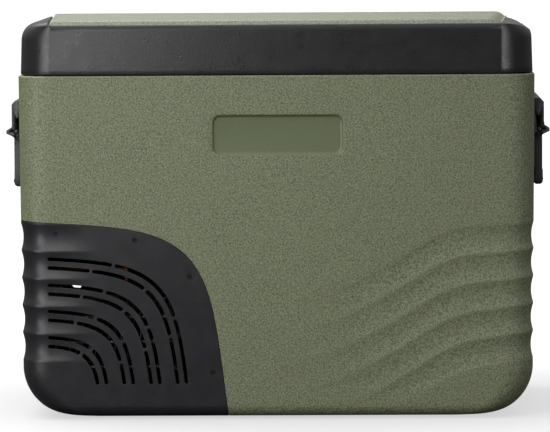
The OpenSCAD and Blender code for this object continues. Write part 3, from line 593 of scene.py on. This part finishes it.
def build_lid():
    rings = []
    for z in lid_rows():
        ring = lid_ring(z)
        if z < LID_FOOT + 0.7:  # eased lower edge
            ease = 0.6 if z < LID_FOOT + 0.1 else 0.2
            ring[:, 0] *= (LID_HALF_W - ease) / LID_HALF_W
            ring[:, 1] *= (LID_HALF_D - ease) / LID_HALF_D
        rings.append(ring)
    lid = ring_solid("lid_frame_visual", rings)
    # hollow underside, then a narrower cavity up towards the panel seat
    boolean(lid, ring_solid("cut", [lid_ring(z, 4) for z in (LID_FOOT - 6, LID_FOOT + 2, 415)]))
    boolean(lid, z_prism(rounded_rect(496, 2 * LID_HALF_D - 7, 8, 4), LID_FOOT - 5, 435))
    boolean(lid, z_prism(panel_seat_outline(), PANEL_SEAT, LID_TOP + 20))
    boolean(lid, through_prism(PLANED, reach=60))
    # seat of the control strip on the left shoulder, with a pocket beneath
    boolean(lid, on_shoulder(z_prism(rounded_rect(20.4, 120.4, 5, 6), -2, 10)))
    boolean(lid, on_shoulder(z_prism(rounded_rect(16, 112, 3, 4), -9, -1.9)))
    shade(lid, 30)
    return lid


lid = build_lid()
stand_in(lid, "lid", "lid_frame")

# ---------------------------------------------------------------- lid top panel
PANEL_MARGIN = 2.1  # the panel stops this far inside its front and back lines
EDGE_STEPS = np.array([0, 0.65, 1.3, 1.95, 2.4, 2.8, 3.3, 3.9, 4.7, 5.6])


def rolled_edge(distance, radius):
    """Drop of a quarter-round edge at a distance from it."""
    q = np.clip(radius - distance, 0, radius)
    return radius - np.sqrt(radius * radius - q * q)


def brow(distance):
    """Drop at the front and back edges: a steep bevel that eases into the top."""
    t = np.clip((distance - 2.4) / 3.2, 0, 1)
    return np.where(distance < 2.4, 5.3 - 4.1 * distance / 2.4, 1.2 * (1 - t) ** 2)


def build_panel():
    """Top panel with bevelled front and back edges and the right end rolled down."""
    across = np.unique(np.concatenate([np.linspace(0, 1, 60), np.linspace(0, 0.012, 8),
                                       1 - np.linspace(0, 0.05, 24)]))
    along = np.concatenate([-PANEL_Y + PANEL_MARGIN + EDGE_STEPS,
                            np.linspace(-PANEL_Y + 10, PANEL_Y - 10, 38),
                            (PANEL_Y - PANEL_MARGIN - EDGE_STEPS)[::-1]])
    u, y = np.meshgrid(across, along)
    half = PANEL_FRONT_X + (PANEL_BACK_X - PANEL_FRONT_X) * (y + PANEL_Y) / (2 * PANEL_Y)
    x = -half + 2 * half * u
    from_front = y + PANEL_Y - PANEL_MARGIN
    right_roll = np.minimum(rolled_edge(half - x, 15.0), 5.2)
    right_roll = right_roll * (1 - 0.55 * smooth(1 - from_front / 7.0))
    drop = np.maximum.reduce([brow(from_front), brow(PANEL_Y - PANEL_MARGIN - y),
                              rolled_edge(x + half, 2.0), right_roll])
    z = np.maximum(PANEL_TOP - drop, PANEL_SEAT + 0.12)

    rows, cols = z.shape
    top = np.stack([x, y, z], -1).reshape(-1, 3)
    bottom = top.copy()
    bottom[:, 2] = PANEL_SEAT + 0.02
    n = len(top)
    faces = []
    for r in range(rows - 1):
        for c in range(cols - 1):
            a = r * cols + c
            faces.append((a, a + 1, a + cols + 1, a + cols))
            faces.append((n + a, n + a + cols, n + a + cols + 1, n + a + 1))
    for c in range(cols - 1):
        a, b = c, (rows - 1) * cols + c
        faces.append((a, n + a, n + a + 1, a + 1))
        faces.append((b + 1, n + b + 1, n + b, b))
    for r in range(rows - 1):
        a, b = r * cols, r * cols + cols - 1
        faces.append((a + cols, n + a + cols, n + a, a))
        faces.append((b, n + b, n + b + cols, b + cols))
    panel = mesh_object("lid_panel_visual", np.vstack([top, bottom]), faces)
    # trimmed to the lid's own outline
    shrink = np.array([1 - 0.2 / LID_HALF_W, 1 - 0.1 / LID_HALF_D])
    boolean(panel, z_prism(lid_ring(LID_FOOT + 10)[:, :2] * shrink, 430, 450), "INTERSECT")
    shade(panel, 30)
    return panel


panel = build_panel()
stand_in(panel, "lid", "lid_panel")


# ---------------------------------------------------------------- materials
class Graph:
    """Adds nodes to a tree. An input is a value, a socket, or a node for its first output."""

    def __init__(self, tree):
        self.tree = tree

    def feed(self, node, inputs):
        for key, value in inputs.items():
            if isinstance(value, bpy.types.Node):
                value = value.outputs[0]
            if isinstance(value, bpy.types.NodeSocket):
                self.tree.links.new(value, node.inputs[key])
            else:
                node.inputs[key].default_value = value

    def add(self, kind, inputs=(), **settings):
        node = self.tree.nodes.new("ShaderNode" + kind)
        for key, value in settings.items():
            setattr(node, key, value)
        self.feed(node, inputs if isinstance(inputs, dict) else dict(enumerate(inputs)))
        return node

    def math(self, operation, a, b, clamp=False):
        return self.add("Math", (a, b), operation=operation, use_clamp=clamp)

    def mix(self, factor, a, b):
        return self.add("Mix", {0: factor, 6: a, 7: b}, data_type="RGBA").outputs[2]

    def remap(self, value, from_min, from_max, to_min=0.0, to_max=1.0, **settings):
        return self.add("MapRange", (value, from_min, from_max, to_min, to_max), **settings)

    def noise(self, vector, scale, detail, rough=0.5):
        return self.add("TexNoise", {"Vector": vector, "Scale": scale, "Detail": detail,
                                     "Roughness": rough})


def linear(rgb):
    channels = [c / 255 for c in rgb]
    return tuple(c / 12.92 if c <= 0.04045 else ((c + 0.055) / 1.055) ** 2.4
                 for c in channels) + (1.0,)


def tone(colour, factor, lift=0.0):
    return tuple(min(1, c * factor + lift) for c in colour[:3]) + (1,)


def material(name, rgb, rough, colour_var, wear, grain=None, fine=None, grain_colour=0.0,
             wear_rgb=None, bevel=0.0005, spec=0.5, metal=0.0, coat=0.0, stretch=None,
             glow=None, scale=9.0):
    """Mottled surface with a bumpy grain and worn edges.

    rough: roughness and its variation      colour_var: depth of the mottling
    grain, fine: density and bump strength of the cell grain and of the finer noise
    grain_colour: how much the grain shows in the colour
    wear, wear_rgb: amount and colour of the worn edges      bevel: edge width, metres
    stretch: scale of the fine patterns along X, Y, Z      glow: colour and strength
    scale: density of the mottling
    """
    mat = bpy.data.materials.new(name)
    mat.use_nodes = True
    mat.node_tree.nodes.clear()
    graph = Graph(mat.node_tree)
    place = graph.add("TexCoord").outputs["Object"]
    drawn = graph.add("Mapping", {"Vector": place, "Scale": stretch}) if stretch else place

    # mottling: large and small patches
    base = linear(rgb)
    large = graph.math("MULTIPLY", graph.noise(place, scale, 4, 0.55), 0.6)
    small = graph.math("MULTIPLY", graph.noise(drawn, scale * 22, 3, 0.6), 0.4)
    mottle = graph.remap(graph.math("ADD", large, small), 0.36, 0.64)
    colour = graph.mix(mottle, tone(base, 1 - colour_var), tone(base, 1 + colour_var))

    # relief: warped cells with noise over them, then the finer noise
    if grain:
        density, bump = grain
        warp = graph.noise(place, density * 0.9, 2).outputs["Color"]
        warp = graph.add("VectorMath", {0: warp, "Scale": 0.9 / density}, operation="SCALE")
        warped = graph.add("VectorMath", (place, warp), operation="ADD")
        cells = graph.add("TexVoronoi", {"Vector": warped, "Scale": density, "Randomness": 1.0},
                          feature="SMOOTH_F1")
        domes = graph.math("MULTIPLY", graph.math("SUBTRACT", 1.0, cells), 0.6)
        lumps = graph.math("MULTIPLY", graph.noise(place, density * 0.7, 2, 0.6), 0.9)
        height = graph.math("ADD", domes, lumps)
        if grain_colour:
            pattern = graph.mix(graph.remap(height, 0.62, 0.97),
                                tone(base, 1 - grain_colour), tone(base, 1 + grain_colour))
            colour = graph.mix(0.75, colour, pattern)
    if fine:
        density, fine_bump = fine
        share = fine_bump / bump if grain else 1.0
        ripple = graph.math("MULTIPLY", graph.noise(drawn, density, 2, 0.6), share)
        if grain:
            height = graph.math("ADD", height, ripple)
        else:
            height, bump = ripple, fine_bump

    # wear where the bevelled normal departs from the true one
    edge_normal = graph.add("Bevel", {"Radius": bevel}, samples=3)
    normal = graph.add("NewGeometry").outputs["Normal"]
    facing = graph.add("VectorMath", (edge_normal, normal), operation="DOT_PRODUCT")
    away = graph.math("SUBTRACT", 1.0, facing.outputs["Value"])
    edge = graph.math("MULTIPLY", away, 7.0, clamp=True)
    patches = graph.remap(graph.noise(place, scale * 16, 5, 0.7), 0.42, 0.62)
    worn = graph.math("MULTIPLY", graph.math("MULTIPLY", edge, patches), wear, clamp=True)
    colour = graph.mix(worn, colour, linear(wear_rgb) if wear_rgb else tone(base, 1.6, 0.03))

    level, spread = rough
    roughness = graph.remap(graph.noise(drawn, scale * 9, 4, 0.6), 0.3, 0.7,
                            max(level - spread, 0.03), min(level + spread, 1))
    polish = graph.math("MULTIPLY", worn, -0.12)
    inputs = {
        "Base Color": colour,
        "Normal": graph.add("Bump", {"Strength": bump, "Distance": 0.0004, "Height": height,
                                     "Normal": edge_normal}),
        "Roughness": graph.math("ADD", roughness, polish, clamp=True),
        "Metallic": metal,
        "Specular IOR Level": spec,
        "Coat Weight": coat,
    }
    if glow:
        inputs["Emission Color"] = linear(glow[0])
        inputs["Emission Strength"] = glow[1]
    graph.add("OutputMaterial", [graph.add("BsdfPrincipled", inputs)])
    return mat


LOOKS = {
    "shell_green": dict(
        rgb=(102, 108, 81), rough=(0.52, 0.06), grain=(760, 0.9), fine=(1900, 0.3), scale=7,
        colour_var=0.05, grain_colour=0.62, wear=0.35, wear_rgb=(150, 154, 132), bevel=0.0008),
    "lid_green": dict(
        rgb=(109, 114, 97), rough=(0.5, 0.06), grain=(760, 0.8), fine=(1900, 0.3), scale=7,
        colour_var=0.05, grain_colour=0.45, wear=0.3, wear_rgb=(160, 163, 142), bevel=0.0007),
    "lid_black": dict(
        rgb=(28, 28, 30), rough=(0.30, 0.04), grain=(620, 0.3), fine=(2600, 0.1), scale=8,
        colour_var=0.06, grain_colour=0.07, spec=0.45, wear=0.35, wear_rgb=(105, 105, 108),
        bevel=0.0008),
    "cover_black": dict(
        rgb=(28, 28, 31), rough=(0.33, 0.05), grain=(800, 0.26), fine=(2400, 0.1), scale=8,
        colour_var=0.07, grain_colour=0.07, spec=0.42, wear=0.4, wear_rgb=(110, 110, 113),
        bevel=0.0006),
    # darker green of the front recess is painted shade; its lower roughness is a smoother
    # finish
    "recess_shade_green": dict(
        rgb=(91, 99, 69), rough=(0.36, 0.05), grain=(900, 0.12), fine=(1900, 0.05), scale=7,
        colour_var=0.04, grain_colour=0.08, wear=0.3, wear_rgb=(150, 154, 132), bevel=0.0008),
    "foam": dict(
        rgb=(226, 214, 168), rough=(0.9, 0.05), grain=(260, 0.8), colour_var=0.09,
        grain_colour=0.2, wear=0.1, spec=0.2, scale=14),
    "liner_grey": dict(
        rgb=(198, 201, 203), rough=(0.38, 0.08), grain=(700, 0.12), fine=(2000, 0.05), scale=5,
        colour_var=0.025, grain_colour=0.03, wear=0.2, wear_rgb=(225, 226, 226), bevel=0.0012),
    "trim_black": dict(
        rgb=(27, 27, 29), rough=(0.46, 0.08), grain=(850, 0.25), colour_var=0.08,
        grain_colour=0.08, wear=0.35, wear_rgb=(98, 98, 100)),
    "steel": dict(
        rgb=(188, 190, 193), rough=(0.3, 0.1), fine=(1800, 0.12), colour_var=0.05, metal=1.0,
        wear=0.2, stretch=(1, 1, 9), bevel=0.0003, scale=30),
    "steel_black": dict(
        rgb=(30, 31, 33), rough=(0.34, 0.08), grain=(1200, 0.15), colour_var=0.1,
        grain_colour=0.08, wear=0.6, wear_rgb=(120, 118, 114), coat=0.2),
    "steel_grey": dict(
        rgb=(140, 145, 149), rough=(0.42, 0.12), fine=(900, 0.2), colour_var=0.1, metal=0.85,
        wear=0.4, bevel=0.0004, scale=18),
    "copper": dict(
        rgb=(196, 122, 82), rough=(0.32, 0.12), fine=(1400, 0.12), colour_var=0.14, metal=1.0,
        wear=0.25, wear_rgb=(232, 170, 130), bevel=0.0003, scale=26),
    "winding": dict(
        rgb=(150, 84, 44), rough=(0.4, 0.1), fine=(1600, 0.5), colour_var=0.18, metal=0.4,
        wear=0.2, stretch=(1, 1, 14), bevel=0.0004, scale=30),
    "screw_black": dict(
        rgb=(13, 13, 14), rough=(0.62, 0.06), grain=(1200, 0.15), colour_var=0.08,
        grain_colour=0.06, wear=0.3, wear_rgb=(60, 60, 60), spec=0.25, bevel=0.0003),
    "rubber": dict(
        rgb=(24, 24, 25), rough=(0.78, 0.08), grain=(1000, 0.3), colour_var=0.12,
        grain_colour=0.12, wear=0.4, wear_rgb=(74, 73, 72), spec=0.35, bevel=0.0004),
    "fin_aluminium": dict(
        rgb=(205, 208, 211), rough=(0.35, 0.12), fine=(1500, 0.2), colour_var=0.07, metal=1.0,
        wear=0.2, stretch=(1, 8, 1), bevel=0.0002, scale=30),
    "board_green": dict(
        rgb=(26, 92, 56), rough=(0.4, 0.1), grain=(500, 0.4), colour_var=0.12,
        grain_colour=0.3, wear=0.2, bevel=0.0002),
    "module_grey": dict(
        rgb=(72, 77, 83), rough=(0.45, 0.1), grain=(700, 0.2), colour_var=0.08,
        grain_colour=0.08, wear=0.5, wear_rgb=(140, 143, 146)),
    "lens_white": dict(
        rgb=(238, 241, 243), rough=(0.28, 0.06), grain=(500, 0.1), colour_var=0.02,
        grain_colour=0.03, wear=0.1, bevel=0.0006, glow=((255, 250, 238), 0.35)),
    "lens_dark": dict(
        rgb=(14, 19, 24), rough=(0.1, 0.04), fine=(700, 0.03), colour_var=0.1, wear=0.1,
        coat=0.6, bevel=0.0004),
    "handle_black": dict(
        rgb=(22, 20, 19), rough=(0.42, 0.09), grain=(900, 0.25), colour_var=0.09,
        grain_colour=0.09, wear=0.55, wear_rgb=(96, 92, 88), bevel=0.0008),
    "grip_rubber": dict(
        rgb=(26, 25, 25), rough=(0.72, 0.08), grain=(650, 0.5), colour_var=0.12,
        grain_colour=0.14, wear=0.45, wear_rgb=(72, 70, 68), spec=0.35, bevel=0.0008),
    "wire_coated": dict(
        rgb=(214, 217, 219), rough=(0.3, 0.08), grain=(600, 0.12), colour_var=0.04, coat=0.25,
        grain_colour=0.04, wear=0.3, wear_rgb=(240, 240, 240), bevel=0.0004),
    "button_red": dict(
        rgb=(138, 44, 36), rough=(0.4, 0.06), grain=(1200, 0.15), colour_var=0.06,
        wear=0.4, wear_rgb=(190, 110, 100), bevel=0.0006),
    "button_grey": dict(
        rgb=(86, 89, 93), rough=(0.42, 0.06), grain=(1200, 0.15), colour_var=0.06,
        wear=0.4, wear_rgb=(150, 152, 155), bevel=0.0006),
}
materials = {name: material(name + "_mat", **look) for name, look in LOOKS.items()}


def paint(ob, name):
    ob.data.materials.clear()
    ob.data.materials.append(materials[name])
    for face in ob.data.polygons:
        face.material_index = 0


def paint_recess():
    """Give the walls and floor of the front recess a darker green: painted shade in the recess.
    """
    shell.data.materials.append(materials["recess_shade_green"])
    for face in shell.data.polygons:
        x, y, z = face.center * 1000
        if (0.25 < y - CENTRE_Y + HALF_D < 3.4
                and abs(x - RECESS_X) < 74 and abs(z - RECESS_Z) < 24):
            face.material_index = 1


paint(shell, "shell_green")
paint_recess()
# the black landing behind the seam is painted shade in the gap
paint(landing, "trim_black")
paint(cover, "cover_black")
paint(lid, "lid_black")
paint(panel, "lid_green")
paint(foam, "foam")

# CAD pieces shown as they are, by material
PIECES = {
    "foam": "lid_foam",
    "liner_grey": "inner_liner lid_liner",
    "trim_black": "rim_trim terminal_cover fan_frame fan_impeller dc_socket ac_socket"
                  " socket_flap hinge_body_leaves hinge_lid_leaves",
    "copper": "evaporator_coil suction_pipe discharge_pipe filter_drier capillary_tube",
    "steel_grey": "bay_wall base_plate",
    "steel_black": "compressor_lower_shell compressor_upper_shell compressor_feet"
                   " condenser_coil condenser_fins handle_pins",
    "winding": "compressor_stator",
    "steel": "compressor_block compressor_bolts compressor_rotor fan_shaft foot_screws"
             " bracket_screws hinge_pins hinge_body_screws hinge_lid_screws",
    "rubber": "compressor_grommets feet lid_gasket",
    "module_grey": "control_module",
    "screw_black": "bay_cover_screws",
    "handle_black": "handle_brackets handle_bail_left handle_bail_right",
    "grip_rubber": "basket_grips handle_grip_left handle_grip_right",
    "lens_white": "interior_light",
    "wire_coated": "wire_basket",
    "lens_dark": "control_bezel display_lens",
    "board_green": "control_board",
    "button_red": "power_button",
    "button_grey": "settings_button up_button down_button",
}
# pieces with bevelled edges, by bevel width in mm
BEVELS = {
    0.9: "handle_brackets handle_bail_left handle_bail_right",
    0.8: "handle_grip_left handle_grip_right",
    1.6: "inner_liner lid_liner",
    0.6: "rim_trim lid_gasket interior_light fan_frame control_module",
    0.5: "socket_flap feet",
    0.4: "hinge_body_leaves hinge_lid_leaves ac_socket dc_socket",
    0.35: "power_button settings_button up_button down_button",
    0.3: "control_bezel",
}


def by_piece(groups):
    return {name: value for value, names in groups.items() for name in names.split()}


def finish_pieces():
    looks, widths = by_piece(PIECES), by_piece(BEVELS)
    for name, ob in frame["nodes"].items():
        if name not in looks:
            continue
        paint(ob, looks[name])
        weld = ob.modifiers.new("weld", "WELD")
        weld.merge_threshold = 0.000004
        if name in widths:
            bevel = ob.modifiers.new("edge", "BEVEL")
            bevel.width = widths[name] / 1000
            bevel.segments = 3
            bevel.limit_method = "ANGLE"
            bevel.angle_limit = math.radians(42)
            bevel.use_clamp_overlap = True
            bevel.harden_normals = False
        shade(ob, 32)


finish_pieces()


# ---------------------------------------------------------------- stage, light, camera (metres)
def floor_material():
    """Pale floor that glows to the camera, more so away from the box, so that the weaker glow
    near the box is a painted shadow; it reflects dim.
    """
    mat = bpy.data.materials.new("floor_mat")
    mat.use_nodes = True
    graph = Graph(mat.node_tree)
    rays = graph.add("LightPath").outputs
    place = graph.add("TexCoord").outputs["Object"]
    oval = graph.add("VectorMath", (place, (1.0, 1.35, 1.0)), operation="MULTIPLY")
    distance = graph.add("VectorMath", [oval], operation="LENGTH").outputs["Value"]
    # glow rises with distance from the box: the dimmer floor near it is painted shadow
    glow = graph.remap(distance, 0.2, 1.1, 0.6, 0.97, interpolation_type="SMOOTHSTEP")
    graph.feed(mat.node_tree.nodes["Principled BSDF"], {
        "Roughness": 0.7,
        "Specular IOR Level": 0.2,
        "Emission Color": (1, 1, 1, 1),
        "Emission Strength": graph.math("MULTIPLY", rays["Is Camera Ray"], glow),
        "Base Color": graph.mix(rays["Is Glossy Ray"],
                                (0.17, 0.17, 0.17, 1), (0.04, 0.04, 0.04, 1)),
    })
    return mat


def build_floor():
    mesh = bpy.data.meshes.new("floor")
    mesh.from_pydata([(-40, -40, 0), (40, -40, 0), (40, 40, 0), (-40, 40, 0)], [],
                     [(0, 1, 2, 3)])
    mesh.materials.append(floor_material())
    link(bpy.data.objects.new("floor", mesh))


def build_world():
    """White to the camera; as light, dim at the horizon and brighter overhead."""
    world = bpy.data.worlds.new("studio")
    bpy.context.scene.world = world
    world.use_nodes = True
    world.node_tree.nodes.clear()
    graph = Graph(world.node_tree)
    white = (1, 1, 1, 1)
    seen = graph.add("Background", {"Color": white, "Strength": 1.0})
    direction = graph.add("TexCoord").outputs["Generated"]
    upward = graph.add("SeparateXYZ", [direction]).outputs["Z"]
    strength = graph.remap(upward, -0.05, 0.8, 0.13, 0.9)
    ambient = graph.add("Background", {"Color": white, "Strength": strength})
    camera_ray = graph.add("LightPath").outputs["Is Camera Ray"]
    mixed = graph.add("MixShader", (camera_ray, ambient, seen))
    graph.add("OutputWorld", [mixed])


def softbox(name, at, target, size, watts, spread=math.pi, diffuse=True):
    """Rectangular light unseen by the camera; without diffuse it shows only in reflections."""
    light = bpy.data.lights.new(name, "AREA")
    light.shape = "RECTANGLE"
    light.size, light.size_y = size
    light.energy = watts
    light.spread = spread
    ob = link(bpy.data.objects.new(name, light))
    ob.location = at
    ob.rotation_mode = "QUATERNION"
    ob.rotation_quaternion = (Vector(target) - Vector(at)).to_track_quat("-Z", "Y")
    ob.visible_camera = False
    ob.visible_diffuse = diffuse


def build_lights():
    softbox("key_near", at=(-0.38, -1.15, 0.50), target=(-0.25, -0.1, 0.38),
            size=(0.26, 0.46), watts=2.7)
    softbox("strip_left", at=(-1.42, -1.80, 0.44), target=(-0.27, -0.15, 0.4),
            size=(0.7, 0.5), watts=7, diffuse=False)
    softbox("kicker", at=(-1.9, -1.45, 0.2), target=(0.0, -0.17, 0.32),
            size=(0.5, 0.5), watts=8, diffuse=False)
    softbox("key_high", at=(-1.5, -2.1, 1.9), target=(0, 0, 0.2), size=(1.2, 1.2), watts=33)
    softbox("strip", at=(1.50, -1.70, 0.44), target=(0.27, -0.15, 0.4),
            size=(0.9, 0.5), watts=8, diffuse=False)
    softbox("top", at=(-0.9, 0.25, 1.9), target=(-0.1, 0, 0.3), size=(1.8, 1.8), watts=33)
    softbox("top_near", at=(-0.32, 0.15, 1.35), target=(-0.14, 0.05, 0.44),
            size=(0.8, 0.8), watts=1.9, spread=math.radians(80))


def build_camera():
    """Long lens in front of the box, a little to the right and above."""
    target = Vector((0, CENTRE_Y / 1000, 0.225))
    distance = 5.0
    azimuth, pitch, roll = (math.radians(a) for a in (1.085, 3.936, -0.343))
    backward = Vector((math.sin(azimuth) * math.cos(pitch),
                       -math.cos(azimuth) * math.cos(pitch), math.sin(pitch)))
    right = Vector((math.cos(azimuth), math.sin(azimuth), 0))
    up = right.cross(-backward)
    rolled_right = math.cos(roll) * right + math.sin(roll) * up
    rolled_up = -math.sin(roll) * right + math.cos(roll) * up
    turn = Matrix((rolled_right, rolled_up, backward)).transposed()

    data = bpy.data.cameras.new("photo_camera")
    data.sensor_width = 36
    data.lens = 285.696
    data.shift_x = -0.0078727273
    data.shift_y = -0.0171272727
    data.clip_start, data.clip_end = 0.1, 200
    camera = link(bpy.data.objects.new("photo_camera", data))
    camera.matrix_world = Matrix.Translation(target + backward * distance) @ turn.to_4x4()
    bpy.context.scene.camera = camera


build_floor()
build_world()
build_lights()
build_camera()
view = bpy.context.scene.view_settings
view.view_transform = "Standard"
view.look = "None"
view.exposure = 0.0

bpy.context.view_layer.update()
